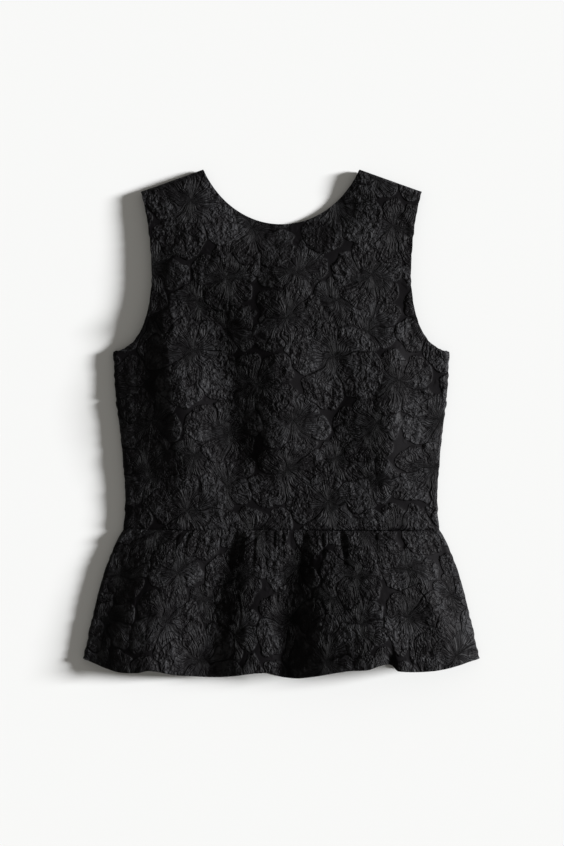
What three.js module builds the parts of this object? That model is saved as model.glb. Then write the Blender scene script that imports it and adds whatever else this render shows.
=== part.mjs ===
// A sleeveless peplum top in a flower cloque jacquard, laid flat on its back, front up.
// All lengths are millimetres. +X runs across the front to the right as it is seen, +Y from the
// hem to the shoulders, +Z up from the table. The origin is on the table, under the middle.
import * as THREE from "three";

// Finished sizes of the top, measured flat
const FULL_LENGTH = 649;
const BUST_WIDTH = 429.4;
const WAIST_SEAM_WIDTH = 404;
const HEM_WIDTH = 507.4;
const SHOULDER_SPAN = 359;
const SHOULDER_FALL = 28.5;
const NECK_WIDTH = 200;
const FRONT_NECK_DROP = 70;
const BACK_NECK_DROP = 102;
const ARMHOLE_DEPTH = 205;
const PEPLUM_SIDE_LENGTH = 165;

// The peplum's strip on the flat cut, before it is gathered
const PEPLUM_CUT_WIDTH = 550;
const PEPLUM_CUT_DEPTH = 185;

// The cloth, and how it lies
const CLOTH = 1.4;
const SEAM_GAP = 0.3;
const SEAM_HEIGHT = 5;
const ROLL_RADIUS = 6;
const ROLL_RISE = 4;
const BACK_ARMHOLE_INSET = 1.5;

// Levels along the length
const TOP_Y = FULL_LENGTH / 2;
const SHOULDER_Y = TOP_Y - SHOULDER_FALL;
const UNDERARM_Y = SHOULDER_Y - ARMHOLE_DEPTH;
const WAIST_Y = -136;
const HEM_SIDE_Y = WAIST_Y - PEPLUM_SIDE_LENGTH;

// Small helpers
const clamp01 = (t) => Math.min(1, Math.max(0, t));
const mix = (a, b, t) => a + (b - a) * t;
const ease = (t) => 0.5 - 0.5 * Math.cos(Math.PI * clamp01(t));
const quarterRound = (t) => Math.sqrt(1 - (1 - clamp01(t)) ** 2);
const swellUp = (t) => Math.sin((Math.PI / 2) * clamp01(t));
const bell = (t) => Math.exp(-0.5 * t * t);

// A smooth curve through the rows of a table, read at one column by another
function readTable(rows, at, column, value) {
  const last = rows.length - 1;
  if (value <= rows[0][at]) return rows[0][column];
  if (value >= rows[last][at]) return rows[last][column];
  const k = rows.findIndex((row) => row[at] > value) - 1;
  const slope = (i) => {
    const low = rows[Math.max(0, i - 1)];
    const high = rows[Math.min(last, i + 1)];
    return (high[column] - low[column]) / (high[at] - low[at]);
  };
  const step = rows[k + 1][at] - rows[k][at];
  const t = (value - rows[k][at]) / step;
  const start = rows[k][column];
  const end = rows[k + 1][column];
  return (
    start * (1 - 3 * t * t + 2 * t ** 3) +
    end * (3 * t * t - 2 * t ** 3) +
    slope(k) * step * (t - 2 * t * t + t ** 3) +
    slope(k + 1) * step * (t ** 3 - t * t)
  );
}

// Outline of the right half: neck, shoulder, armhole and side, each one curve
const point = (x, y) => new THREE.Vector2(x, y);
const neckPoint = point(NECK_WIDTH / 2, TOP_Y);
const shoulderTip = point(SHOULDER_SPAN / 2, SHOULDER_Y);
const underarm = point(BUST_WIDTH / 2, UNDERARM_Y);
const waistSide = point(WAIST_SEAM_WIDTH / 2, WAIST_Y);
const hemSide = point(HEM_WIDTH / 2, HEM_SIDE_Y);

const neckCurve = (drop, sideLean, sideLength, frontLength) =>
  new THREE.CubicBezierCurve(
    neckPoint,
    point(neckPoint.x - sideLean, TOP_Y - sideLength),
    point(frontLength, TOP_Y - drop),
    point(0, TOP_Y - drop),
  );
const frontNeck = neckCurve(FRONT_NECK_DROP, 18, 40, 45);
const backNeck = neckCurve(BACK_NECK_DROP, 16, 62, 48);
const armhole = new THREE.CubicBezierCurve(
  underarm,
  point(underarm.x - 50, UNDERARM_Y + 6),
  point(shoulderTip.x - 27, SHOULDER_Y - 106),
  shoulderTip,
);
const bodiceSide = new THREE.CubicBezierCurve(
  waistSide,
  point(waistSide.x - 9, WAIST_Y + 66),
  point(underarm.x + 1.5, UNDERARM_Y - 61),
  underarm,
);
const peplumSide = new THREE.CubicBezierCurve(
  waistSide,
  point(waistSide.x + 27, WAIST_Y - 44),
  point(hemSide.x - 16, HEM_SIDE_Y + 69),
  hemSide,
);

// Half the width of the top at a height y, read off its side seams
const SIDE_SAMPLES = 120;
const sideRows = [
  ...peplumSide.getPoints(SIDE_SAMPLES).reverse(),
  ...bodiceSide.getPoints(SIDE_SAMPLES).slice(1),
];
function halfWidth(y) {
  const k = sideRows.findIndex((p) => p.y > y);
  if (k === 0) return sideRows[0].x;
  if (k < 0) return sideRows[sideRows.length - 1].x;
  const [a, b] = [sideRows[k - 1], sideRows[k]];
  return mix(a.x, b.x, (y - a.y) / (b.y - a.y));
}

// How far the hem hangs below its corners. Where a valley meets it, the edge draws back a little.
const HEM = [
  { x: -hemSide.x, drop: 0 },
  { x: -212, drop: 15.5 },
  { x: -183, drop: 16.8 },
  { x: -168, drop: 13.8 },
  { x: -133, drop: 20.5 },
  { x: -82, drop: 23.5 },
  { x: -22, drop: 17 },
  { x: 2, drop: 22.5 },
  { x: 24, drop: 23.3 },
  { x: 84, drop: 12.5 },
  { x: 110, drop: 10.5 },
  { x: 126, drop: 5 },
  { x: 140, drop: 5.5 },
  { x: 147, drop: 12.6 },
  { x: 195, drop: 12.7 },
  { x: hemSide.x, drop: 0 },
];
const hemY = (x) => HEM_SIDE_Y - readTable(HEM, "x", "drop", x);

// How high the front stands over the rolled side seams, level by level
const LOFT = [
  { y: -330, loft: 7 },
  { y: -136, loft: 10 },
  { y: -60, loft: 12 },
  { y: 20, loft: 15 },
  { y: 100, loft: 17 },
  { y: 190, loft: 16 },
  { y: 240, loft: 12 },
  { y: 290, loft: 7 },
  { y: 325, loft: 3 },
];
const SIDE_SLOPE = 70;
const SHOULDER_SLOPE = 30;

// The armhole edge lies low, and the neck edge lies lower, almost on the table
const ARMHOLE_DIP = { reach: 50, share: 0.8 };
const NECK_DIP = { reach: 24, share: 0.9, drop: 5 };

// Long soft folds of the bodice: a ridge, or a trough where the rise is negative
const SOFT_FOLDS = [
  { x0: -134, y0: 215, x1: -142, y1: 135, width: 12, rise: 3 },
  { x0: -149, y0: 120, x1: -113, y1: -52, width: 17, rise: 5 },
  { x0: -84, y0: 130, x1: -58, y1: -32, width: 18, rise: -6 },
  { x0: 4, y0: 190, x1: -4, y1: -40, width: 20, rise: 5.5 },
  { x0: 66, y0: 80, x1: 68, y1: -25, width: 15, rise: -4 },
  { x0: 145, y0: 90, x1: 135, y1: -60, width: 17, rise: 4.5 },
];

function distanceToLine(x, y, x0, y0, x1, y1) {
  const [dx, dy] = [x1 - x0, y1 - y0];
  const t = clamp01(((x - x0) * dx + (y - y0) * dy) / (dx * dx + dy * dy));
  return Math.hypot(x - x0 - t * dx, y - y0 - t * dy);
}
const softFolds = (x, y) =>
  SOFT_FOLDS.reduce(
    (sum, f) => sum + f.rise * bell(distanceToLine(x, y, f.x0, f.y0, f.x1, f.y1) / f.width),
    0,
  );

// Distances from the seams that close the tube, and from the open edges
const sideDistance = (x, y) =>
  y <= UNDERARM_Y
    ? Math.max(0, halfWidth(y) - Math.abs(x))
    : Math.hypot(underarm.x - Math.abs(x), y - UNDERARM_Y);
const shoulderDistance = (x, y) =>
  distanceToLine(Math.abs(x), y, neckPoint.x, neckPoint.y, shoulderTip.x, shoulderTip.y);
const armholeEdge = armhole.getPoints(24);
const neckEdge = frontNeck.getPoints(24);
const nearestOf = (edge, x, y) => Math.min(...edge.map((p) => Math.hypot(Math.abs(x) - p.x, y - p.y)));

// The peplum's flutes: where each crest and valley leaves the waist seam and meets the hem,
// and how high it stands there over the level of the seam roll
const FLUTES = [
  { waist: -200, hem: -244, height: 0 },
  { waist: -126, hem: -173, height: 17.5 },
  { waist: -102, hem: -147, height: 12.5 },
  { waist: -62, hem: -96, height: 0.5 },
  { waist: -42, hem: -54, height: 11.5 },
  { waist: -26, hem: -32, height: 14 },
  { waist: -6, hem: -12, height: 12.5 },
  { waist: 22, hem: 2, height: 9.5 },
  { waist: 50, hem: 50, height: 25.5 },
  { waist: 80, hem: 86, height: 32 },
  { waist: 108, hem: 122, height: 36 },
  { waist: 148, hem: 174, height: 27.5 },
  { waist: 172, hem: 206, height: 25 },
  { waist: 196, hem: 240, height: 13 },
];
function fluteHeight(x, down) {
  const run = 1 - (1 - down) ** 1.6;
  const rows = FLUTES.map((f) => ({ x: mix(f.waist, f.hem, run), height: f.height }));
  return readTable(rows, "x", "height", x);
}

// Where the hem tucks under beside its highest crest
const HEM_TUCK = { x: 137, width: 6, length: 0.16, depth: 8 };
const hemTuck = (x, down) =>
  -HEM_TUCK.depth * bell((x - HEM_TUCK.x) / HEM_TUCK.width) * ease(1 - (1 - down) / HEM_TUCK.length);

// Sharp tucks that start in the waist seam: x there, x where they end, and the share of the way
// down where that is
const TUCKS = [
  { waist: -57, end: -70, length: 0.4, depth: 3.5, width: 8 },
  { waist: -4, end: -4, length: 0.25, depth: 1.2, width: 2 },
  { waist: 31, end: 20, length: 0.5, depth: 3.5, width: 6 },
  { waist: 52, end: 54, length: 0.3, depth: 2, width: 4 },
  { waist: 76, end: 84, length: 0.4, depth: 3, width: 8 },
  { waist: 119, end: 122, length: 0.2, depth: 3, width: 3.5 },
  { waist: 162, end: 134, length: 0.45, depth: 1.5, width: 5 },
];
function tucks(x, down) {
  return TUCKS.reduce((sum, tuck) => {
    const place = mix(tuck.waist, tuck.end, down / tuck.length);
    const depth = tuck.depth * (0.3 + 0.7 * ease(down / 0.06)) * (1 - ease(down / tuck.length));
    return sum - depth * Math.exp(-Math.abs(x - place) / tuck.width);
  }, 0);
}

// Small gathers that fan out of the waist seam and die away
const FRONT_GATHERS = { count: 24, rise: 0.9, peak: 0.08 };
const BACK_GATHERS = { count: 15, rise: 0.4, peak: 0.25 };
function gathers(kind, across, down) {
  const wander = 1.3 * Math.sin(4.7 * across + 0.6) + 0.9 * Math.sin(11 * across);
  const uneven = 0.45 + 0.55 * Math.sin(23 * across + 2.4) * Math.sin(9.1 * across + 1);
  const strength = 0.25 * bell(down / 0.05) + (down / kind.peak) * Math.exp(1 - down / kind.peak);
  return kind.rise * uneven * strength * Math.cos(Math.PI * (kind.count * across + wander));
}

// Height of the front's outer side, bodice and peplum. It climbs evenly from the side seams.
const FLUTE_START = 0.45;
const PEPLUM_SLOPE = 26;
const sideClimb = (t) => 0.6 * clamp01(t) + 0.4 * swellUp(t);
function bodiceHeight(x, y) {
  const toShoulder = shoulderDistance(x, y);
  const nearArmhole = bell(nearestOf(armholeEdge, x, y) / ARMHOLE_DIP.reach);
  const nearNeck = bell(nearestOf(neckEdge, x, y) / NECK_DIP.reach);
  const dip = (1 - ARMHOLE_DIP.share * nearArmhole) * (1 - NECK_DIP.share * nearNeck);
  const rise = readTable(LOFT, "y", "loft", y) * dip + softFolds(x, y);
  const climb = sideClimb(sideDistance(x, y) / SIDE_SLOPE) * swellUp(toShoulder / SHOULDER_SLOPE);
  return rise * climb - NECK_DIP.drop * nearNeck * ease(toShoulder / (2 * SHOULDER_SLOPE));
}
function peplumHeight(x, y) {
  const down = clamp01((WAIST_Y - y) / (WAIST_Y - hemY(x)));
  const atWaist = readTable(LOFT, "y", "loft", WAIST_Y) + softFolds(x, WAIST_Y);
  const flutes = mix(atWaist, fluteHeight(x, down), down ** FLUTE_START);
  const small = gathers(FRONT_GATHERS, x / halfWidth(y), down) + tucks(x, down) + hemTuck(x, down);
  return (flutes + small) * sideClimb(sideDistance(x, y) / mix(SIDE_SLOPE, PEPLUM_SLOPE, down));
}
function frontHeight(x, y) {
  const toSeam = Math.min(sideDistance(x, y), shoulderDistance(x, y));
  const base = SEAM_HEIGHT + ROLL_RISE * quarterRound(toSeam / ROLL_RADIUS);
  return base + (y >= WAIST_Y ? bodiceHeight(x, y) : peplumHeight(x, y));
}

// Height of the back's outer side, which lies on the table and rolls up to the seams
function backHeight(x, y) {
  const toSeam = Math.min(sideDistance(x, y), shoulderDistance(x, y));
  const roll = SEAM_HEIGHT * (1 - quarterRound(toSeam / SEAM_HEIGHT));
  if (y >= WAIST_Y) return roll;
  const down = clamp01((WAIST_Y - y) / (WAIST_Y - hemY(x)));
  const wave = BACK_GATHERS.rise + gathers(BACK_GATHERS, x / halfWidth(y), down);
  return roll + Math.max(0, wave) * swellUp(toSeam / PEPLUM_SLOPE);
}

// The woven flowers: seven to a repeat, five scalloped petals each, puffed over the ground. Each
// flower lies over the ones before it, and its longest petal points the way it faces.
const REPEAT = { x: 182, y: 196 };
const FLOWER_ORIGIN = { x: 66, y: 88 };
const PUFF = 0.7;
const PETALS = 5;
const PETAL_TURN = (2 * Math.PI) / PETALS;
const PETAL_NOTCH = 0.32;
const FLOWERS = [
  { x: 5, y: 66, reach: 30, turn: 0.2, facing: 1.0, stretch: 0.1 },
  { x: -48, y: 110, reach: 44, turn: 1.0, facing: 4.4, stretch: 0.1 },
  { x: 48, y: 30, reach: 38, turn: 0.8, facing: 1.2, stretch: 0.1 },
  { x: 49, y: 100, reach: 48, turn: 0.35, facing: 2.6, stretch: 0.12 },
  { x: -58, y: 46, reach: 50, turn: 0.1, facing: 5.2, stretch: 0.16 },
  { x: 82, y: -37, reach: 48, turn: 0.5, facing: 5.6, stretch: 0.18 },
  { x: 0, y: 0, reach: 60, turn: 0.62, facing: 4.9, stretch: 0.22 },
];
const wrap = (value, size) => value - size * Math.round(value / size);
function flowerRelief(x, y) {
  let rise = 0;
  for (const flower of FLOWERS) {
    const dx = wrap(x - FLOWER_ORIGIN.x - flower.x, REPEAT.x);
    const dy = wrap(y - FLOWER_ORIGIN.y - flower.y, REPEAT.y);
    const radius = Math.hypot(dx, dy);
    const angle = Math.atan2(dy, dx) - flower.turn;
    const petal = PETAL_TURN * Math.round(angle / PETAL_TURN);
    const off = Math.abs(angle - petal);
    const length = flower.reach * (1 + flower.stretch * Math.cos(petal + flower.turn - flower.facing));
    const scallop = Math.sqrt(Math.max(0, Math.cos((off * PETALS) / 2)));
    const inside = length * (1 - PETAL_NOTCH + PETAL_NOTCH * scallop) - radius;
    const parting = radius * Math.sin(PETAL_TURN / 2 - off);
    if (inside > 0) rise = PUFF * (1 - Math.exp(-inside / 2.5)) * (1 - 0.6 * Math.exp(-parting / 2));
  }
  return rise;
}

// The grid of one panel: where its columns and rows run, as shares of the panel
const ROLL_STATIONS = [0, 0.003, 0.011, 0.024, 0.045];
function columnStations(between, corner) {
  const half = [...ROLL_STATIONS.map((s) => 1 - s)];
  const inner = half[half.length - 1];
  const outside = Math.round((between * (inner - corner)) / inner);
  const inside = between - outside;
  for (let k = 1; k <= outside; k += 1) half.push(mix(inner, corner, k / outside));
  for (let k = 1; k <= inside; k += 1) half.push(corner * (1 - k / inside));
  return [...half.map((u) => -u), ...half.slice(0, -1).reverse()];
}
function rowStations(below, above, topRoll) {
  const last = 1 - topRoll[topRoll.length - 1];
  const rows = [];
  for (let k = 0; k < below; k += 1) rows.push((0.5 * k) / below);
  for (let k = 0; k < above; k += 1) rows.push(mix(0.5, last, k / above));
  return [...rows, ...topRoll.map((s) => 1 - s).reverse()];
}

// Plan of the bodice: u runs across from side to side, v up from the waist seam. The row at 0.5
// meets the underarms, and the column at NECK_SHARE meets the neck points.
const NECK_SHARE = NECK_WIDTH / SHOULDER_SPAN;
function bodicePlan(neck, inset) {
  return (u, v) => {
    const side = v <= 0.5 ? bodiceSide.getPoint(2 * v) : armhole.getPoint(2 * v - 1);
    if (v > 0.5) side.x -= inset * Math.sin(Math.PI * (2 * v - 1));
    const share = Math.abs(u);
    const top =
      share < NECK_SHARE
        ? neck.getPoint(1 - share / NECK_SHARE)
        : point(
            mix(neckPoint.x, shoulderTip.x, (share - NECK_SHARE) / (1 - NECK_SHARE)),
            mix(TOP_Y, SHOULDER_Y, (share - NECK_SHARE) / (1 - NECK_SHARE)),
          );
    const straight = mix(waistSide.x, shoulderTip.x, v);
    return point(
      Math.sign(u) * (mix(waistSide.x * share, top.x, v) + share * (side.x - straight)),
      side.y + v * (top.y - SHOULDER_Y),
    );
  };
}

// Plan of the peplum: v runs down from the waist seam to the hem
const peplumPlan = (u, v) => {
  const side = peplumSide.getPoint(v);
  const sideShare = (side.y - WAIST_Y) / (HEM_SIDE_Y - WAIST_Y);
  const x = u * side.x;
  return point(x, WAIST_Y + (hemY(x) - WAIST_Y) * sideShare);
};

// The way out of the cloth at a point of a height field, level with the table on a closed seam
function outward(height, x, y, seam) {
  const reach = 0.05;
  const slopeX = (height(x + reach, y) - height(x - reach, y)) / (2 * reach);
  const slopeY = (height(x, y + reach) - height(x, y - reach)) / (2 * reach);
  if (seam === "waist") return new THREE.Vector3(-slopeX, 0, 1).normalize();
  if (seam === "side") return new THREE.Vector3(Math.sign(x), 0, 0);
  if (seam === "shoulder") {
    const run = SHOULDER_SPAN / 2 - NECK_WIDTH / 2;
    return new THREE.Vector3(Math.sign(x) * SHOULDER_FALL, run, 0).normalize();
  }
  return new THREE.Vector3(-slopeX, -slopeY, 1).normalize();
}

// One closed wall: an outer skin, an inner skin that may keep fewer rows and columns, and a rim
function wallGeometry(outer, inner, keptColumns, keptRows, facesDown) {
  const columns = outer[0].length;
  const rows = outer.length;
  const places = [];
  outer.flat().forEach((p) => places.push(p.x, p.y, p.z));
  const innerStart = outer.flat().length;
  for (const j of keptRows)
    for (const i of keptColumns) {
      const p = inner[j][i];
      places.push(p.x, p.y, p.z);
    }
  const outerAt = (i, j) => j * columns + i;
  const innerAt = (a, b) => innerStart + b * keptColumns.length + a;
  const faces = [];
  for (let j = 0; j < rows - 1; j += 1)
    for (let i = 0; i < columns - 1; i += 1) {
      faces.push(outerAt(i, j), outerAt(i + 1, j), outerAt(i + 1, j + 1));
      faces.push(outerAt(i, j), outerAt(i + 1, j + 1), outerAt(i, j + 1));
    }
  for (let b = 0; b < keptRows.length - 1; b += 1)
    for (let a = 0; a < keptColumns.length - 1; a += 1) {
      faces.push(innerAt(a, b), innerAt(a + 1, b + 1), innerAt(a + 1, b));
      faces.push(innerAt(a, b), innerAt(a, b + 1), innerAt(a + 1, b + 1));
    }
  const rim = (fine, coarse, outerId, innerId) => {
    for (let k = 0; k < coarse.length - 1; k += 1) {
      const [from, to] = [fine.indexOf(coarse[k]), fine.indexOf(coarse[k + 1])];
      const middle = Math.floor((from + to) / 2);
      faces.push(outerId(fine[middle]), innerId(k), innerId(k + 1));
      for (let s = from; s < to; s += 1) {
        const nearest = s < middle ? k : k + 1;
        faces.push(outerId(fine[s + 1]), outerId(fine[s]), innerId(nearest));
      }
    }
  };
  const allColumns = [...Array(columns).keys()];
  const allRows = [...Array(rows).keys()];
  const lastA = keptColumns.length - 1;
  const lastB = keptRows.length - 1;
  const backColumns = allColumns.toReversed();
  const backRows = allRows.toReversed();
  const topInner = (a) => innerAt(lastA - a, lastB);
  rim(allColumns, keptColumns, (i) => outerAt(i, 0), (a) => innerAt(a, 0));
  rim(allRows, keptRows, (j) => outerAt(columns - 1, j), (b) => innerAt(lastA, b));
  rim(backColumns, keptColumns.toReversed(), (i) => outerAt(i, rows - 1), topInner);
  rim(backRows, keptRows.toReversed(), (j) => outerAt(0, j), (b) => innerAt(0, lastB - b));
  const geometry = new THREE.BufferGeometry();
  geometry.setAttribute("position", new THREE.Float32BufferAttribute(places, 3));
  geometry.setIndex(facesDown ? faces.toReversed() : faces);
  geometry.computeVertexNormals();
  return geometry;
}

// Lays one panel: its plan is lifted to the height field, and the wall grows inwards from it
function panelGeometry({ plan, height, isBack, isPeplum, us, vs, keptColumns, keptRows, relief }) {
  const seamZ = SEAM_HEIGHT + (isBack ? -SEAM_GAP : SEAM_GAP) / 2;
  const inwards = isBack ? 1 : -1;
  const waistShift = (isPeplum ? -SEAM_GAP : SEAM_GAP) / 2;
  const outer = [];
  const inner = [];
  for (const v of vs) {
    outer.push([]);
    inner.push([]);
    for (const u of us) {
      const { x, y } = plan(u, v);
      const onSide = Math.abs(u) === 1 && (isPeplum || v <= 0.5);
      const onShoulder = !isPeplum && v === 1 && Math.abs(u) >= NECK_SHARE - 1e-9;
      const onWaist = v === 0;
      const seam = (onSide && "side") || (onShoulder && "shoulder") || (onWaist && "waist");
      const out = outward(height, x, y, seam);
      const closed = onSide || onShoulder;
      const placed = new THREE.Vector3(x, y + (onWaist ? waistShift : 0), closed ? seamZ : height(x, y));
      const wallStep = closed ? -CLOTH : inwards * CLOTH;
      inner.at(-1).push(placed.clone().addScaledVector(out, wallStep));
      outer.at(-1).push(placed.clone().addScaledVector(out, closed ? 0 : relief(x, y)));
    }
  }
  if (isPeplum !== isBack) return wallGeometry(outer, inner, keptColumns, keptRows, true);
  return wallGeometry(outer, inner, keptColumns, keptRows, false);
}

// Every column or row that the inner skin keeps: the rolled edges, and each so many between
function kept(count, edge, every, always) {
  return [...Array(count).keys()].filter(
    (k) => k < edge || k >= count - edge || always.includes(k) || k % every === 0,
  );
}

// Relief fades out towards the seams and edges, where the cloth is pressed
const PRESSED_EDGE = 14;
function bodiceRelief(x, y) {
  const toSeam = Math.min(sideDistance(x, y), shoulderDistance(x, y), y - WAIST_Y);
  const toEdge = Math.min(nearestOf(armholeEdge, x, y), nearestOf(neckEdge, x, y));
  return flowerRelief(x, y) * ease(Math.min(toSeam, toEdge) / PRESSED_EDGE);
}
function peplumRelief(x, y) {
  const cutX = ((x / halfWidth(y)) * PEPLUM_CUT_WIDTH) / 2;
  const cutY = WAIST_Y - (PEPLUM_CUT_DEPTH * (WAIST_Y - y)) / (WAIST_Y - hemY(x));
  const toEdge = Math.min(sideDistance(x, y), WAIST_Y - y, y - hemY(x));
  return flowerRelief(cutX, cutY) * ease(toEdge / PRESSED_EDGE);
}
const noRelief = () => 0;

const fineColumns = columnStations(23, NECK_SHARE);
const fineRows = rowStations(22, 21, [0, 0.002, 0.008, 0.018]);
const coarseColumns = columnStations(10, NECK_SHARE);
const coarseRows = rowStations(8, 10, [0, 0.003, 0.011]);
const gatherColumns = columnStations(48, NECK_SHARE);
const backGatherColumns = columnStations(26, NECK_SHARE);
const peplumRows = [0, 0.03, 0.07, 0.12, 0.18, 0.26, 0.36, 0.48, 0.61, 0.74, 0.87, 0.95, 1];
const backPeplumRows = [0, 0.08, 0.2, 0.36, 0.55, 0.78, 1];
const every = (list) => list.map((_, k) => k);
const neckColumns = fineColumns.map((u, k) => (Math.abs(Math.abs(u) - NECK_SHARE) < 1e-9 ? k : -1));

const PANELS = {
  front_bodice: {
    plan: bodicePlan(frontNeck, 0),
    height: frontHeight,
    isBack: false,
    isPeplum: false,
    us: fineColumns,
    vs: fineRows,
    keptColumns: kept(fineColumns.length, ROLL_STATIONS.length, 3, neckColumns),
    keptRows: kept(fineRows.length, 4, 3, [fineRows.indexOf(0.5)]),
    relief: bodiceRelief,
  },
  back_bodice: {
    plan: bodicePlan(backNeck, BACK_ARMHOLE_INSET),
    height: backHeight,
    isBack: true,
    isPeplum: false,
    us: coarseColumns,
    vs: coarseRows,
    keptColumns: every(coarseColumns),
    keptRows: every(coarseRows),
    relief: noRelief,
  },
  front_peplum: {
    plan: peplumPlan,
    height: frontHeight,
    isBack: false,
    isPeplum: true,
    us: gatherColumns,
    vs: peplumRows,
    keptColumns: every(gatherColumns),
    keptRows: every(peplumRows),
    relief: peplumRelief,
  },
  back_peplum: {
    plan: peplumPlan,
    height: backHeight,
    isBack: true,
    isPeplum: true,
    us: backGatherColumns,
    vs: backPeplumRows,
    keptColumns: every(backGatherColumns),
    keptRows: every(backPeplumRows),
    relief: noRelief,
  },
};

// Black jacquard with a low silk sheen
const SHEEN_ROUGHNESS = 0.62;
const cloth = (colour) =>
  new THREE.MeshStandardMaterial({ color: colour, roughness: SHEEN_ROUGHNESS, metalness: 0 });
const COLOURS = {
  front_bodice: 0x1c1c1e,
  back_bodice: 0x1a1a1c,
  front_peplum: 0x1c1c1e,
  back_peplum: 0x1a1a1c,
};

const top = new THREE.Group();
for (const [name, panel] of Object.entries(PANELS)) {
  const mesh = new THREE.Mesh(panelGeometry(panel), cloth(COLOURS[name]));
  mesh.name = name;
  top.add(mesh);
}

// The origin is set on the table, under the middle of the whole top
const extent = new THREE.Box3().setFromObject(top);
const middle = extent.getCenter(new THREE.Vector3());
top.position.set(-middle.x, -middle.y, -extent.min.z);

export default top;
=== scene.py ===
# A sleeveless peplum top in black flower cloque jacquard, laid flat on its back, front up.
# Lengths are worked out in millimetres, from the sizes of the cut, and laid in metres.
import math
import bpy
import numpy as np
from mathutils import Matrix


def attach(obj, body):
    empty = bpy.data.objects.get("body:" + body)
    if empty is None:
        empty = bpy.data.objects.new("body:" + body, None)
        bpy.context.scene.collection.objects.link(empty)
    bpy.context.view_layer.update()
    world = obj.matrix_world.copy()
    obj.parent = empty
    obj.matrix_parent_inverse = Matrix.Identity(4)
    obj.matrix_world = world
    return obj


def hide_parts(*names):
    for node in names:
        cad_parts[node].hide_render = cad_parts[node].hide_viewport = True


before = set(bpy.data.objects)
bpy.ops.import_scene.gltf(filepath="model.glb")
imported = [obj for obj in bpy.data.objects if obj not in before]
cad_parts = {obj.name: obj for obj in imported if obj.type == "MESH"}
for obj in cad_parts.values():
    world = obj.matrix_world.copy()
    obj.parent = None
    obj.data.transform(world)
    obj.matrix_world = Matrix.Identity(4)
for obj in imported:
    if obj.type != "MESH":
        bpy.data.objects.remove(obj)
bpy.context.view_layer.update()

# The front bodice
# One piece of jacquard, cut on the fold, with a bust dart from each side. It stands over the back
# in long soft folds between rolled seams, and its neck and armholes are turned in and pressed.
MM = 0.001
WALL = 1.2
FULL_LENGTH = 649.0
BUST_WIDTH = 429.4
WAIST_SEAM_WIDTH = 404.0
SHOULDER_SPAN = 359.0
SHOULDER_FALL = 28.5
NECK_WIDTH = 200.0
ARMHOLE_DEPTH = 205.0
TOP_Y = FULL_LENGTH / 2
SHOULDER_Y = TOP_Y - SHOULDER_FALL
UNDERARM_Y = SHOULDER_Y - ARMHOLE_DEPTH
WAIST_Y = -136.0
NECK_SHARE = NECK_WIDTH / SHOULDER_SPAN

neck_point = (NECK_WIDTH / 2, TOP_Y)
shoulder_tip = (SHOULDER_SPAN / 2, SHOULDER_Y)
underarm = (BUST_WIDTH / 2, UNDERARM_Y)
waist_side = (WAIST_SEAM_WIDTH / 2, WAIST_Y)


def cut_curve(start, first, second, end):
    """One curved edge of the pattern, as a function that gives x and y along it, from 0 to 1."""
    corners = np.array([start, first, second, end])

    def at(t):
        t = np.asarray(t, dtype=float)[..., None]
        shares = np.concatenate([(1 - t) ** 3, 3 * t * (1 - t) ** 2, 3 * t * t * (1 - t), t ** 3], axis=-1)
        return shares @ corners

    return at


def neck_curve(drop, side_lean, side_length, middle_length):
    first = (neck_point[0] - side_lean, TOP_Y - side_length)
    return cut_curve(neck_point, first, (middle_length, TOP_Y - drop), (0, TOP_Y - drop))


front_neck = neck_curve(70, 18, 40, 45)
armhole = cut_curve(
    underarm,
    (underarm[0] - 50, UNDERARM_Y + 6),
    (shoulder_tip[0] - 27, SHOULDER_Y - 106),
    shoulder_tip,
)
bodice_side = cut_curve(
    waist_side,
    (waist_side[0] - 9, WAIST_Y + 66),
    (underarm[0] + 1.5, UNDERARM_Y - 61),
    underarm,
)


def half_width(side, y):
    """Half the width of the top at a level, from side seam to side seam."""
    rows = side(np.linspace(0, 1, 120))
    rows = rows[np.argsort(rows[:, 1])]
    return np.interp(y, rows[:, 1], rows[:, 0])


def line_distance(x, y, start, end):
    run = np.subtract(end, start)
    t = np.clip(((x - start[0]) * run[0] + (y - start[1]) * run[1]) / (run @ run), 0, 1)
    return np.hypot(x - start[0] - t * run[0], y - start[1] - t * run[1])


def edge_distance(edge, x, y):
    """How far a point lies from a curved edge of the pattern."""
    nearest = np.full(np.shape(x), np.inf)
    for edge_x, edge_y in edge(np.linspace(0, 1, 90)):
        nearest = np.minimum(nearest, np.hypot(np.abs(x) - edge_x, y - edge_y))
    return nearest


def shoulder_distance(x, y):
    return line_distance(np.abs(x), y, neck_point, shoulder_tip)


def bodice_side_distance(x, y):
    below = np.maximum(0, half_width(bodice_side, y) - np.abs(x))
    return np.where(y <= UNDERARM_Y, below, np.hypot(underarm[0] - np.abs(x), y - UNDERARM_Y))


def ease(t):
    return 0.5 - 0.5 * np.cos(np.pi * np.clip(t, 0, 1))


def quarter_round(t):
    return np.sqrt(1 - (1 - np.clip(t, 0, 1)) ** 2)


def swell_up(t):
    return np.sin(np.pi / 2 * np.clip(t, 0, 1))


def bell(t):
    return np.exp(-0.5 * t * t)


def through(places, values, at):
    """A smooth curve through the values given at some places, read anywhere between them."""
    last = len(places) - 1
    at = np.clip(at, places[0], places[last])

    def slope(k):
        low, high = max(0, k - 1), min(last, k + 1)
        return (values[high] - values[low]) / (places[high] - places[low])

    result = values[0] + 0 * at
    for k in range(last):
        step = places[k + 1] - places[k]
        t = np.clip((at - places[k]) / step, 0, 1)
        from_start = values[k] * (1 - 3 * t ** 2 + 2 * t ** 3) + slope(k) * step * (t - 2 * t ** 2 + t ** 3)
        from_end = values[k + 1] * (3 * t ** 2 - 2 * t ** 3) + slope(k + 1) * step * (t ** 3 - t ** 2)
        result = np.where(at >= places[k], from_start + from_end, result)
    return result


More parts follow.
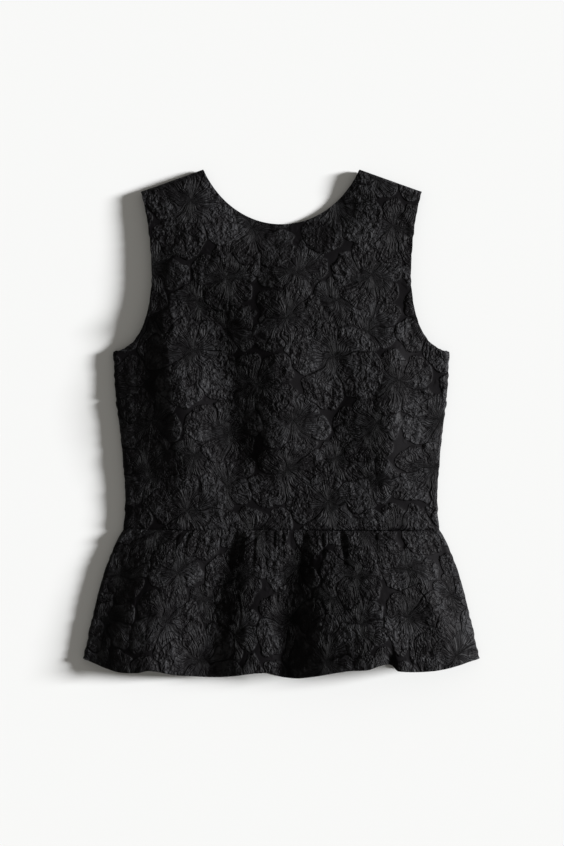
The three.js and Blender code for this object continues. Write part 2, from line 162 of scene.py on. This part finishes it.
# How high the front stands: the rolled seams, the loft at each level, and the slopes up to it
SEAM_HEIGHT = 5.0
ROLL_RADIUS = 6.0
ROLL_RISE = 4.0
SIDE_SLOPE = 70.0
SHOULDER_SLOPE = 30.0
LOFT = [(-330, 7), (-136, 10), (-60, 12), (20, 15), (100, 17), (190, 16), (240, 12), (290, 7), (325, 3)]
# The armhole edge lies low, and the neck edge lies lower, almost on the table
ARMHOLE_REACH, ARMHOLE_DIP = 50.0, 0.8
NECK_REACH, NECK_DIP, NECK_DROP = 24.0, 0.9, 5.0
# Long folds: where each starts and ends, its width, and its rise or fall
SOFT_FOLDS = [
    ((-134, 215), (-142, 135), 12, 3),
    ((-149, 120), (-113, -52), 17, 5),
    ((-84, 130), (-58, -32), 18, -6),
    ((4, 190), (-4, -40), 20, 5.5),
    ((66, 80), (68, -25), 15, -4),
    ((145, 90), (135, -60), 17, 4.5),
]


def soft_folds(x, y):
    return sum(rise * bell(line_distance(x, y, start, end) / width) for start, end, width, rise in SOFT_FOLDS)


def side_climb(t):
    """The front climbs evenly from the side seams."""
    return 0.6 * np.clip(t, 0, 1) + 0.4 * swell_up(t)


def front_roll(to_seam):
    return SEAM_HEIGHT + ROLL_RISE * quarter_round(to_seam / ROLL_RADIUS)


def front_bodice_height(x, y):
    to_side, to_shoulder = bodice_side_distance(x, y), shoulder_distance(x, y)
    near_armhole = bell(edge_distance(armhole, x, y) / ARMHOLE_REACH)
    near_neck = bell(edge_distance(front_neck, x, y) / NECK_REACH)
    dip = (1 - ARMHOLE_DIP * near_armhole) * (1 - NECK_DIP * near_neck)
    rise = through(*zip(*LOFT), y) * dip + soft_folds(x, y)
    climb = side_climb(to_side / SIDE_SLOPE) * swell_up(to_shoulder / SHOULDER_SLOPE)
    drop = NECK_DROP * near_neck * ease(to_shoulder / (2 * SHOULDER_SLOPE))
    return front_roll(np.minimum(to_side, to_shoulder)) + rise * climb - drop


# The weave: five-petalled flowers, seven to a repeat, puffed and crinkled over a smooth ground
REPEAT_X = 182.0
REPEAT_Y = 196.0
ORIGIN_X = 66.0
ORIGIN_Y = 88.0
PETALS = 5
PETAL_TURN = 2 * math.pi / PETALS
PETAL_NOTCH = 0.32
PUFF = 0.6
# Each flower's place in the repeat, its reach, its turn, the way its longest petal faces, and
# how much longer that petal is. Each lies over the ones before it.
FLOWERS = [
    (5, 66, 30, 0.2, 1.0, 0.10),
    (-48, 110, 44, 1.0, 4.4, 0.10),
    (48, 30, 38, 0.8, 1.2, 0.10),
    (49, 100, 48, 0.35, 2.6, 0.12),
    (-58, 46, 50, 0.1, 5.2, 0.16),
    (82, -37, 48, 0.5, 5.6, 0.18),
    (0, 0, 60, 0.62, 4.9, 0.22),
]


def bubbles(x, y, size, seed):
    """Soft uneven bumps about so many millimetres across, from -1 to 1."""
    lattice = np.random.default_rng(seed).uniform(-1, 1, (64, 64))
    column, row = x / size, y / size
    i, j = np.floor(column).astype(int), np.floor(row).astype(int)
    s, t = column - i, row - j
    s, t = s * s * (3 - 2 * s), t * t * (3 - 2 * t)
    low = lattice[i % 64, j % 64] * (1 - s) + lattice[(i + 1) % 64, j % 64] * s
    high = lattice[i % 64, (j + 1) % 64] * (1 - s) + lattice[(i + 1) % 64, (j + 1) % 64] * s
    return low * (1 - t) + high * t


# How far the shrinking yarn pulls the flowers about, and over what length, broadly and finely
BROAD_PULL, BROAD_LENGTH = 6.5, 24
FINE_PULL, FINE_LENGTH = 3, 10


def drawn(x, y):
    """Where points of the flat cloth fall in the even repeat, as the shrinking yarn pulls them about."""
    pull_x = BROAD_PULL * bubbles(x, y, BROAD_LENGTH, 11) + FINE_PULL * bubbles(x, y, FINE_LENGTH, 13)
    pull_y = BROAD_PULL * bubbles(x, y, BROAD_LENGTH, 12) + FINE_PULL * bubbles(x, y, FINE_LENGTH, 14)
    return x + pull_x, y + pull_y


def flower_relief(x, y):
    """How far the puffed petals stand over the ground."""
    rise = np.zeros_like(x)
    for flower_x, flower_y, reach, turn, facing, stretch in FLOWERS:
        from_x = x - ORIGIN_X - flower_x
        from_y = y - ORIGIN_Y - flower_y
        from_x = from_x - REPEAT_X * np.round(from_x / REPEAT_X)
        from_y = from_y - REPEAT_Y * np.round(from_y / REPEAT_Y)
        radius = np.hypot(from_x, from_y)
        angle = np.arctan2(from_y, from_x) - turn
        petal = PETAL_TURN * np.round(angle / PETAL_TURN)
        off = angle - petal
        length = reach * (1 + stretch * np.cos(petal + turn - facing))
        scallop = np.sqrt(np.maximum(0, np.cos(off * PETALS / 2)))
        inside = length * (1 - PETAL_NOTCH + PETAL_NOTCH * scallop) - radius
        parting = radius * np.sin(PETAL_TURN / 2 - np.abs(off))
        swell = 0.3 + 0.7 * np.sin(np.pi / 2 * np.minimum(1, radius / (0.6 * length)))
        puffed = (1 - np.exp(-np.maximum(inside, 0) / 3.5)) * (1 - 0.7 * np.exp(-parting / 3))
        rise = np.where(inside > 0, PUFF * swell * puffed, rise)
    return rise


def cloque(x, y):
    """The whole relief of the cloth: puffed petals, and the crinkles that the shrunken yarn draws."""
    petals = flower_relief(*drawn(x, y))
    crinkle = 0.55 * bubbles(x, y, 7.5, 3) + 0.35 * bubbles(x + 0.4 * y, y, 4.6, 5)
    return petals + crinkle * (0.2 + 0.6 * petals / PUFF)


class Strand:
    """A shader socket that takes part in plain arithmetic."""

    def __init__(self, loom, socket):
        self.loom = loom
        self.socket = socket

    def __add__(self, other):
        return self.loom.math("ADD", self, other)

    def __radd__(self, other):
        return self.loom.math("ADD", other, self)

    def __sub__(self, other):
        return self.loom.math("SUBTRACT", self, other)

    def __rsub__(self, other):
        return self.loom.math("SUBTRACT", other, self)

    def __mul__(self, other):
        return self.loom.math("MULTIPLY", self, other)

    def __rmul__(self, other):
        return self.loom.math("MULTIPLY", other, self)

    def __truediv__(self, other):
        return self.loom.math("DIVIDE", self, other)


class Loom:
    """Sets up one material, node by node."""

    def __init__(self, name):
        self.material = bpy.data.materials.new(name)
        self.material.use_nodes = True
        self.tree = self.material.node_tree
        self.shader = self.tree.nodes["Principled BSDF"]

    def feed(self, socket, value):
        if isinstance(value, Strand):
            self.tree.links.new(value.socket, socket)
        else:
            socket.default_value = value

    def node(self, kind, settings, inputs, out=0):
        made = self.tree.nodes.new(kind)
        for name, value in settings.items():
            setattr(made, name, value)
        for name, value in inputs.items():
            self.feed(made.inputs[name], value)
        return Strand(self, made.outputs[out])

    def math(self, operation, *values):
        return self.node("ShaderNodeMath", {"operation": operation}, dict(enumerate(values)))

    def larger(self, first, second):
        return self.math("MAXIMUM", first, second)

    def smaller(self, first, second):
        return self.math("MINIMUM", first, second)

    def fall(self, value, spread):
        """1 where the value is 0, falling away to both sides of it."""
        return self.math("EXPONENT", value * value / -spread)

    def blend(self, share, low, high):
        """A colour between two others."""
        inputs = {0: share, 6: low, 7: high}
        return self.node("ShaderNodeMix", {"data_type": "RGBA"}, inputs, out=2)

    def noise(self, place, scale, detail, twist):
        inputs = {"Vector": place, "Scale": scale, "Detail": detail, "Distortion": twist}
        return self.node("ShaderNodeTexNoise", {}, inputs)

    def place(self, x, y, z):
        return self.node("ShaderNodeCombineXYZ", {}, {0: x, 1: y, 2: z})

    def laid_out(self, layer):
        """The millimetres across and along that the sheet carries under a name."""
        flat = self.node("ShaderNodeUVMap", {"uv_map": layer}, {})
        across = self.node("ShaderNodeSeparateXYZ", {}, {0: flat}, out=0)
        along = self.node("ShaderNodeSeparateXYZ", {}, {0: flat}, out=1)
        return across * 1000, along * 1000


def switch(cover, below, above):
    """above where cover is 1, below where it is 0."""
    return below + cover * (above - below)


# The ground keeps its own colour; the petals run from dark to light by a random tone and by painted shine and
# highlights, and the creases are painted darker as shade
GROUND = (0.0029, 0.0022, 0.0030, 1)
PETAL_DARK = (0.0036, 0.0031, 0.0036, 1)
PETAL_LIGHT = (0.0176, 0.0174, 0.0188, 1)
CREASE_SHADE = (0.0022, 0.0018, 0.0022, 1)


def jacquard(name):
    """The woven cloth, drawn on its flat cut in millimetres."""
    loom = Loom(name)
    x, y = loom.laid_out("cloth")
    drawn_x, drawn_y = loom.laid_out("flowers")
    spot = loom.place(x, y, 0)

    inside, rib, fan, reached, petal_id = -1.0, 10.0, 0.0, 100.0, 0.0
    for number, (flower_x, flower_y, reach, turn, facing, stretch) in enumerate(FLOWERS):
        from_x = drawn_x - (ORIGIN_X + flower_x)
        from_y = drawn_y - (ORIGIN_Y + flower_y)
        from_x = from_x - loom.math("ROUND", from_x / REPEAT_X) * REPEAT_X
        from_y = from_y - loom.math("ROUND", from_y / REPEAT_Y) * REPEAT_Y
        radius = loom.math("SQRT", from_x * from_x + from_y * from_y)
        angle = loom.math("ARCTAN2", from_y, from_x) - turn
        petal = loom.math("ROUND", angle / PETAL_TURN)
        off = angle - petal * PETAL_TURN
        length = reach * (1 + stretch * loom.math("COSINE", petal * PETAL_TURN + (turn - facing)))
        scallop = loom.math("SQRT", loom.larger(loom.math("COSINE", off * (PETALS / 2)), 0))
        here = length * (1 - PETAL_NOTCH + PETAL_NOTCH * scallop) - radius
        between = radius * loom.math("SINE", PETAL_TURN / 2 - loom.math("ABSOLUTE", off))
        cover = loom.math("GREATER_THAN", here, 0)
        inside = switch(cover, inside, here)
        rib = switch(cover, rib, between)
        fan = switch(cover, fan, off)
        reached = switch(cover, reached, radius)
        petal_id = switch(cover, petal_id, petal + number * 7.3)
    on_petal = loom.math("GREATER_THAN", inside, 0)
    heart = loom.fall(reached, 200)
    near = loom.smaller(loom.fall(reached, 700) * 1.6, 1) * on_petal

    # creases, sunk into the relief and painted darker as painted shade: a broken one round each petal, one
    # between petals, and a few that wander
    broken = loom.smaller(loom.larger(loom.noise(spot, 0.07, 1, 0) * 5 - 1.0, 0.5), 1)
    outline = loom.fall(inside, 1.9)
    parting = loom.fall(rib, 1.4) * on_petal
    wander = loom.fall(loom.noise(spot, 0.055, 2, 0.8) * 2 - 1, 0.0012) * on_petal
    crease = loom.larger(loom.larger(outline, parting) * broken, wander * 0.6)

    # crinkles and broader puckers on the petals, ribs that fan out of each flower, a plain ground
    crinkle = loom.noise(spot, 0.17, 1.5, 1.0)
    puckers = loom.noise(spot, 0.085, 1, 0.5)
    spokes = loom.noise(loom.place(fan * 8, reached * 0.035, petal_id), 1.0, 1, 0)
    furrow = loom.smaller(loom.math("ABSOLUTE", spokes * 2 - 1) * 4, 1)
    ribs = 1 - near * (1 - furrow) * 1.05
    weave = loom.noise(loom.place(x * 0.5, y * 1.6, 0), 1.0, 1, 0)
    bumps = (crinkle - 0.5) * (3.4 - 3.0 * near) + (puckers - 0.5) * 3.4
    height = on_petal * (bumps + ribs * 1.4) + (weave - 0.5) * 0.12 - crease * 1.1
    normal = loom.node("ShaderNodeBump", {}, {"Strength": 1.0, "Distance": MM, "Height": height})

    # painted shine and highlights: the petals are painted lighter in broad areas of shine and on the tops of
    # the crinkles and puckers, over a tone that differs at random petal by petal; the hearts are darker
    tone = loom.node("ShaderNodeTexWhiteNoise", {"noise_dimensions": "1D"}, {"W": petal_id})
    glint_speckle = loom.noise(spot, 0.42, 1, 0.6)
    painted_sheen = loom.noise(spot, 0.032, 1, 0.4)
    # painted highlight on the tops of the crinkles, with fine painted glints
    crinkle_highlight = loom.larger((crinkle - 0.38) * 3.0 + (glint_speckle - 0.45) * 1.6, 0)
    crinkle_highlight = crinkle_highlight * (1 - 0.8 * near) + 0.38 * near
    # broad areas of painted shine and painted highlights on the pucker tops, over a random tone for each
    # petal
    tone_and_sheen = loom.larger(0.34 + 0.9 * (tone - 0.5) + 2.6 * (painted_sheen - 0.5) + 2.4 * (puckers - 0.5), 0.03)
    lit = tone_and_sheen * crinkle_highlight * ribs * (1 - 0.85 * heart) * 2.2
    colour = loom.blend(on_petal, GROUND, loom.blend(loom.smaller(lit, 1), PETAL_DARK, PETAL_LIGHT))
    # painted shade: the creases are painted darker than the petals and ground round them
    loom.feed(loom.shader.inputs["Base Color"], loom.blend(crease, colour, CREASE_SHADE))
    loom.feed(loom.shader.inputs["Roughness"], 0.58 + crease * 0.2)
    loom.feed(loom.shader.inputs["Normal"], normal)
    loom.feed(loom.shader.inputs["Specular IOR Level"], 0.07)
    return loom.material


cloth = jacquard("black_jacquard")


def run_of(start, end, count, tight_start=0.0, tight_end=0.0):
    """Places from start to end, closer together at either end."""
    t = np.linspace(0, 1, count)
    step = 1 - tight_start * np.exp(-t / 0.08) - tight_end * np.exp(-(1 - t) / 0.08)
    run = np.concatenate([[0], np.cumsum((step[1:] + step[:-1]) / 2)])
    return start + (end - start) * run / run[-1]


def across_stations(inner, outer):
    """Columns from the left side seam to the right one, with one at each neck point."""
    right = np.concatenate([run_of(0, NECK_SHARE, inner)[:-1], run_of(NECK_SHARE, 1, outer, 0, 0.8)])
    return np.concatenate([-right[:0:-1], right])


# The rows stay level until they near the neck, so that where the armhole sets out almost level
# no row runs back over the one below it
NECK_BEND = 5


def bodice_plan(us, vs, neck, inset):
    """Where the columns and rows of a bodice lie, seen from above."""
    below = bodice_side(np.minimum(2 * vs, 1))
    above = armhole(np.maximum(2 * vs - 1, 0))
    side = np.where((vs <= 0.5)[:, None], below, above)
    side[:, 0] -= np.where(vs > 0.5, inset * np.sin(np.pi * (2 * vs - 1)), 0)
    share = np.abs(us)
    run = np.clip((share - NECK_SHARE) / (1 - NECK_SHARE), 0, 1)
    shoulder = np.outer(1 - run, neck_point) + np.outer(run, shoulder_tip)
    edge = np.where((share < NECK_SHARE)[:, None], neck(1 - np.minimum(share / NECK_SHARE, 1)), shoulder)
    v, s = vs[:, None], share[None, :]
    straight = waist_side[0] + (shoulder_tip[0] - waist_side[0]) * v
    x = waist_side[0] * s * (1 - v) + edge[None, :, 0] * v + s * (side[:, :1] - straight)
    y = side[:, 1:] + v ** NECK_BEND * (edge[None, :, 1] - SHOULDER_Y)
    return np.sign(us)[None, :] * x, y


# The side seams run a little unevenly over the puffed cloth
NUB_SIZE, NUB_LENGTH = 0.8, 5.5


def raised(us, x, y, height, lift):
    """Points on a height field, each moved out of the cloth by its lift. Front and back move alike
    along the side seams, after their heights are found, so they still meet there."""
    nubs = NUB_SIZE * us * np.abs(us) ** 11 * bubbles(37, y, NUB_LENGTH, 21)
    places = np.dstack([x + nubs, y, height(x, y)])
    out = np.cross(np.gradient(places, axis=1), np.gradient(places, axis=0))
    out = out / np.linalg.norm(out, axis=2, keepdims=True)
    return places + out * lift[:, :, None]


# Faces that meet at less than this many degrees are shaded as one
SMOOTH_ANGLE = 65


def lay_sheet(name, places, flat_x, flat_y):
    """A sheet of cloth with its outer side through the given rows of places, as a closed shell."""
    bpy.ops.object.select_all(action="DESELECT")
    rows, columns = places.shape[:2]
    bpy.ops.mesh.primitive_grid_add(x_subdivisions=columns - 1, y_subdivisions=rows - 1, size=1)
    piece = bpy.context.object
    piece.name = name
    mesh = piece.data
    mesh.name = name
    mesh.vertices.foreach_set("co", (places * MM).astype(np.float32).ravel())
    corners = np.empty(len(mesh.loops), dtype=np.int32)
    mesh.loops.foreach_get("vertex_index", corners)
    mesh.uv_layers[0].name = "cloth"
    mesh.uv_layers.new(name="flowers")
    for layer, across, along in [("cloth", flat_x, flat_y), ("flowers", *drawn(flat_x, flat_y))]:
        at_corners = (np.dstack([across, along]) * MM).reshape(-1, 2)[corners].astype(np.float32)
        mesh.uv_layers[layer].data.foreach_set("uv", at_corners.ravel())
    mesh.update()
    thickness = piece.modifiers.new("wall", "SOLIDIFY")
    thickness.thickness = WALL * MM
    thickness.offset = -1
    bpy.ops.object.modifier_apply(modifier="wall")
    bpy.ops.object.shade_smooth_by_angle(angle=math.radians(SMOOTH_ANGLE))
    piece.data.materials.append(cloth)
    return piece


# The relief is pressed flat at the seams, and over the turned edges of the neck and armholes
SEAM_PRESSED = 3
EDGE_TURNED, EDGE_PRESSED = 1, 5
# The stitches of the waist seam pull the front down, by this much and over this width
SEAM_DITCH, DITCH_WIDTH = 1.0, 2
# A bust dart: its ends at the side seam and at its point, where it fades out, how wide it is
# pressed, the width of its soft rise and that of its stitched line
DART_MOUTH, DART_POINT = (214, 29), (168, 40)
DART_FADE_X, DART_FADE = 163, 20
DART_PRESSED, DART_RISE, DART_LINE = 2.5, 7, 1.1

us = across_stations(52, 60)
vs = np.concatenate([run_of(0, 0.5, 110, 0.4, 0)[:-1], run_of(0.5, 1, 114, 0, 0.6)])
x, y = bodice_plan(us, vs, front_neck, 0)
to_seam = np.minimum(np.minimum(bodice_side_distance(x, y), shoulder_distance(x, y)), y - WAIST_Y)
to_edge = np.minimum(edge_distance(armhole, x, y), edge_distance(front_neck, x, y))
pressed = ease(to_seam / SEAM_PRESSED) * ease((to_edge - EDGE_TURNED) / EDGE_PRESSED)
ditch = -SEAM_DITCH * np.exp(-(y - WAIST_Y) / DITCH_WIDTH) - 0.5 * np.exp(-(to_edge / 1.2) ** 2)
# a bust dart runs in from each side seam
to_dart = line_distance(np.abs(x), y, DART_MOUTH, DART_POINT)
dart_end = ease((np.abs(x) - DART_FADE_X) / DART_FADE)
pressed *= 1 - 0.8 * dart_end * bell(to_dart / DART_PRESSED)
ditch += dart_end * (0.9 * bell(to_dart / DART_RISE) - 1.9 * bell(to_dart / DART_LINE))
places = raised(us, x, y, front_bodice_height, cloque(x, y) * pressed + ditch)
front_bodice = lay_sheet("front_bodice_cloth", places, x, y)
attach(front_bodice, "root")
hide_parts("front_bodice")

# The back bodice
# The same cloth, cut on the fold with a deeper neck, so it shows nowhere from the front. It lies
# flat on the table, and rolls up to the front at the side and shoulder seams.
back_neck = neck_curve(102, 16, 62, 48)
# Its relief faces the table, sunk so far that the tops of the petals just touch it
RELIEF_UNDER = 1.5


def back_roll(to_seam):
    return SEAM_HEIGHT * (1 - quarter_round(to_seam / SEAM_HEIGHT))


def back_bodice_height(x, y):
    return back_roll(np.minimum(bodice_side_distance(x, y), shoulder_distance(x, y)))


us = across_stations(34, 40)[::-1]
vs = np.concatenate([run_of(0, 0.5, 66, 0.4, 0)[:-1], run_of(0.5, 1, 68, 0, 0.6)])
x, y = bodice_plan(us, vs, back_neck, 1.5)
to_seam = np.minimum(np.minimum(bodice_side_distance(x, y), shoulder_distance(x, y)), y - WAIST_Y)
to_edge = np.minimum(edge_distance(armhole, x, y), edge_distance(back_neck, x, y))
pressed = ease(to_seam / SEAM_PRESSED) * ease((to_edge - EDGE_TURNED) / EDGE_PRESSED)
places = raised(us, x, y, back_bodice_height, (cloque(x, y) - RELIEF_UNDER) * pressed)
back_bodice = lay_sheet("back_bodice_cloth", places, -x, y)
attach(back_bodice, "root")
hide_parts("back_bodice")

# The front peplum
# A shaped strip of the same cloth, gathered into the waist seam by its upper edge. The gathers
# open into flutes that stand off the back at the hem.
HEM_WIDTH = 507.4
PEPLUM_SIDE_LENGTH = 165.0
PEPLUM_CUT = 550.0
PEPLUM_DEPTH = 185.0
PEPLUM_SLOPE = 26.0
HEM_SIDE_Y = WAIST_Y - PEPLUM_SIDE_LENGTH
hem_side = (HEM_WIDTH / 2, HEM_SIDE_Y)
peplum_side = cut_curve(
    waist_side,
    (waist_side[0] + 27, WAIST_Y - 44),
    (hem_side[0] - 16, HEM_SIDE_Y + 69),
    hem_side,
)
# Where a valley meets the hem, the edge draws back: x, and the drop below the corners
HEM = [
    (-hem_side[0], 0),
    (-212, 15.5),
    (-183, 16.8),
    (-168, 13.8),
    (-133, 20.5),
    (-82, 23.5),
    (-22, 17),
    (2, 22.5),
    (24, 23.3),
    (84, 12.5),
    (110, 10.5),
    (126, 5),
    (140, 5.5),
    (147, 12.6),
    (195, 12.7),
    (hem_side[0], 0),
]
# The crests and valleys: x at the waist seam, x at the hem, and the height at the hem
FLUTES = [
    (-200, -244, 0),
    (-126, -173, 17.5),
    (-102, -147, 12.5),
    (-62, -96, 0.5),
    (-42, -54, 11.5),
    (-26, -32, 14),
    (-6, -12, 12.5),
    (22, 2, 9.5),
    (50, 50, 25.5),
    (80, 86, 32),
    (108, 122, 36),
    (148, 174, 27.5),
    (172, 206, 25),
    (196, 240, 13),
]
# Sharp tucks that start in the waist seam: x there, x where they end, the share of the way down
# where that is, the depth and the width
TUCKS = [
    (-57, -70, 0.4, 3.5, 8),
    (-4, -4, 0.25, 1.2, 2),
    (31, 20, 0.5, 3.5, 6),
    (52, 54, 0.3, 2, 4),
    (76, 84, 0.4, 3, 8),
    (119, 122, 0.2, 3, 3.5),
    (162, 134, 0.45, 1.5, 5),
]


def hem_y(x):
    return HEM_SIDE_Y - through(*zip(*HEM), x)


def peplum_side_distance(x, y):
    return np.maximum(0, half_width(peplum_side, y) - np.abs(x))


def share_down(x, y):
    return np.clip((WAIST_Y - y) / (WAIST_Y - hem_y(x)), 0, 1)


def flute_height(x, down):
    run = 1 - (1 - down) ** 1.6
    crests = [waist + (hem - waist) * run for waist, hem, _ in FLUTES]
    return through(crests, [height for _, _, height in FLUTES], x)


def tucks(x, down):
    result = np.zeros_like(x)
    for waist, end, length, depth, width in TUCKS:
        middle = waist + (end - waist) * down / length
        fade = (0.3 + 0.7 * ease(down / 0.06)) * (1 - ease(down / length))
        result -= depth * fade * np.exp(-np.abs(x - middle) / width)
    return result


# Where the hem tucks under, how deep and how wide, and the share of the way up that it reaches
HEM_TUCK_X, HEM_TUCK_DEPTH, HEM_TUCK_WIDTH, HEM_TUCK_SHARE = 137, 8, 6, 0.16


def hem_tuck(x, down):
    """The hem tucks under beside its highest crest."""
    near = bell((x - HEM_TUCK_X) / HEM_TUCK_WIDTH)
    return -HEM_TUCK_DEPTH * near * ease(1 - (1 - down) / HEM_TUCK_SHARE)


def gathers(across, down, count, rise, peak, pinch):
    """Small gathers that fan out of the waist seam and die away, no two alike."""
    wander = 1.3 * np.sin(4.7 * across + 0.6) + 0.9 * np.sin(11 * across)
    valley = 0.5 - 0.5 * np.cos(np.pi * (count * across + wander))
    uneven = 0.45 + 0.55 * np.sin(23 * across + 2.4) * np.sin(9.1 * across + 1)
    strength = 0.25 * bell(down / 0.05) + down / peak * np.exp(1 - down / peak)
    return rise * uneven * strength * (1 - 2 * valley ** pinch)


def front_peplum_height(x, y):
    down = share_down(x, y)
    to_side = peplum_side_distance(x, y)
    waist = np.full_like(y, WAIST_Y)
    opened = down ** 0.45
    flutes = (through(*zip(*LOFT), waist) + soft_folds(x, waist)) * (1 - opened)
    flutes += flute_height(x, down) * opened
    small = gathers(x / half_width(peplum_side, y), down, 24, 0.9, 0.08, 2.2)
    small += tucks(x, down) + hem_tuck(x, down)
    reach = SIDE_SLOPE * (1 - down) + PEPLUM_SLOPE * down
    return front_roll(to_side) + (flutes + small) * side_climb(to_side / reach)


def peplum_plan(us, vs):
    """Where the columns and rows of a peplum lie, seen from above."""
    side = peplum_side(vs)
    share = (side[:, 1:] - WAIST_Y) / (HEM_SIDE_Y - WAIST_Y)
    hem = hem_y(us * hem_side[0])[None, :]
    return us[None, :] * side[:, :1], WAIST_Y + (hem - WAIST_Y) * share


def peplum_cut(us, vs):
    """The same columns and rows on the flat cut, before it was gathered."""
    x = us[None, :] * PEPLUM_CUT / 2 + 0 * vs[:, None]
    return x, WAIST_Y - PEPLUM_DEPTH * vs[:, None] + 0 * x


us = across_stations(130, 80)
vs = run_of(1, 0, 110, 0.3, 0.6)
x, y = peplum_plan(us, vs)
cut_x, cut_y = peplum_cut(us, vs)
pressed = ease(np.minimum(peplum_side_distance(x, y), WAIST_Y - y) / SEAM_PRESSED)
ditch = -SEAM_DITCH * np.exp(-(WAIST_Y - y) / DITCH_WIDTH) - 0.4 * np.exp(-((y - hem_y(x)) / 1.2) ** 2)
places = raised(us, x, y, front_peplum_height, cloque(cut_x, cut_y) * pressed + ditch)
front_peplum = lay_sheet("front_peplum_cloth", places, cut_x, cut_y)
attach(front_peplum, "root")
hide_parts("front_peplum")

# The back peplum
# The same strip again, gathered into the back of the waist seam. It lies flatter, because its
# gathers are pressed under the weight of all that is above.


def back_peplum_height(x, y):
    to_side = peplum_side_distance(x, y)
    wave = 0.4 + gathers(x / half_width(peplum_side, y), share_down(x, y), 15, 0.4, 0.25, 1)
    return back_roll(to_side) + np.maximum(0, wave) * swell_up(to_side / PEPLUM_SLOPE)


us = across_stations(80, 50)[::-1]
vs = run_of(1, 0, 66, 0.3, 0.5)
x, y = peplum_plan(us, vs)
cut_x, cut_y = peplum_cut(us, vs)
pressed = ease(np.minimum(peplum_side_distance(x, y), WAIST_Y - y) / SEAM_PRESSED)
places = raised(us, x, y, back_peplum_height, (cloque(cut_x, cut_y) - RELIEF_UNDER) * pressed)
back_peplum = lay_sheet("back_peplum_cloth", places, -cut_x, cut_y)
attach(back_peplum, "root")
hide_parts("back_peplum")

# The table
# A pale plain surface that runs out past the camera's view on every side. It lies a hair below
# the cloth, and isn't part of the object.
TABLE_SIZE, TABLE_DROP = 14, 0.0002
bpy.ops.object.select_all(action="DESELECT")
bpy.ops.mesh.primitive_plane_add(size=TABLE_SIZE, location=(0, 0, -TABLE_DROP))
table = bpy.context.object
table.name = "table"
paint = Loom("pale_table")
paint.feed(paint.shader.inputs["Base Color"], (0.86, 0.86, 0.855, 1))
paint.feed(paint.shader.inputs["Roughness"], 0.9)
table.data.materials.append(paint.material)

# The light and the camera
# A low light stands to the right and throws the shadow to the left, over a weak even fill. The
# camera looks straight down, as in the photograph.
LIGHT_TILT, LIGHT_TURN, LIGHT_SPREAD = 75, 6, 11
LIGHT_STRENGTH, FILL_STRENGTH = 10.9, 0.20
LIGHT_COLOUR, FILL_COLOUR = (0.99, 1.0, 1.01), (1, 0.97, 0.9, 1)
bpy.ops.object.light_add(type="SUN", rotation=(0, math.radians(LIGHT_TILT), math.radians(LIGHT_TURN)))
low_light = bpy.context.object
low_light.name = "low_light"
low_light.data.energy = LIGHT_STRENGTH
low_light.data.color = LIGHT_COLOUR
low_light.data.angle = math.radians(LIGHT_SPREAD)
sky = bpy.data.worlds.new("studio")
sky.use_nodes = True
sky.node_tree.nodes["Background"].inputs["Color"].default_value = FILL_COLOUR
sky.node_tree.nodes["Background"].inputs["Strength"].default_value = FILL_STRENGTH
bpy.context.scene.world = sky
bpy.context.scene.view_settings.view_transform = "Standard"

PHOTO_WIDTH, PHOTO_HEIGHT = 564, 846
MM_PER_PIXEL = 1.28
MIDLINE_PIXEL, MIDDLE_PIXEL = 281.3, 423.0
LENS = 85.0
FILM = 36.0
view_height = PHOTO_HEIGHT * MM_PER_PIXEL * MM
view_x = (PHOTO_WIDTH / 2 - MIDLINE_PIXEL) * MM_PER_PIXEL * MM
view_y = (MIDDLE_PIXEL - PHOTO_HEIGHT / 2) * MM_PER_PIXEL * MM
distance = view_height * LENS / FILM
bpy.ops.object.camera_add(location=(view_x, view_y, distance + SEAM_HEIGHT * MM), rotation=(0, 0, 0))
camera = bpy.context.object
camera.data.sensor_fit = "VERTICAL"
camera.data.sensor_height = FILM
camera.data.lens = LENS
bpy.context.scene.camera = camera
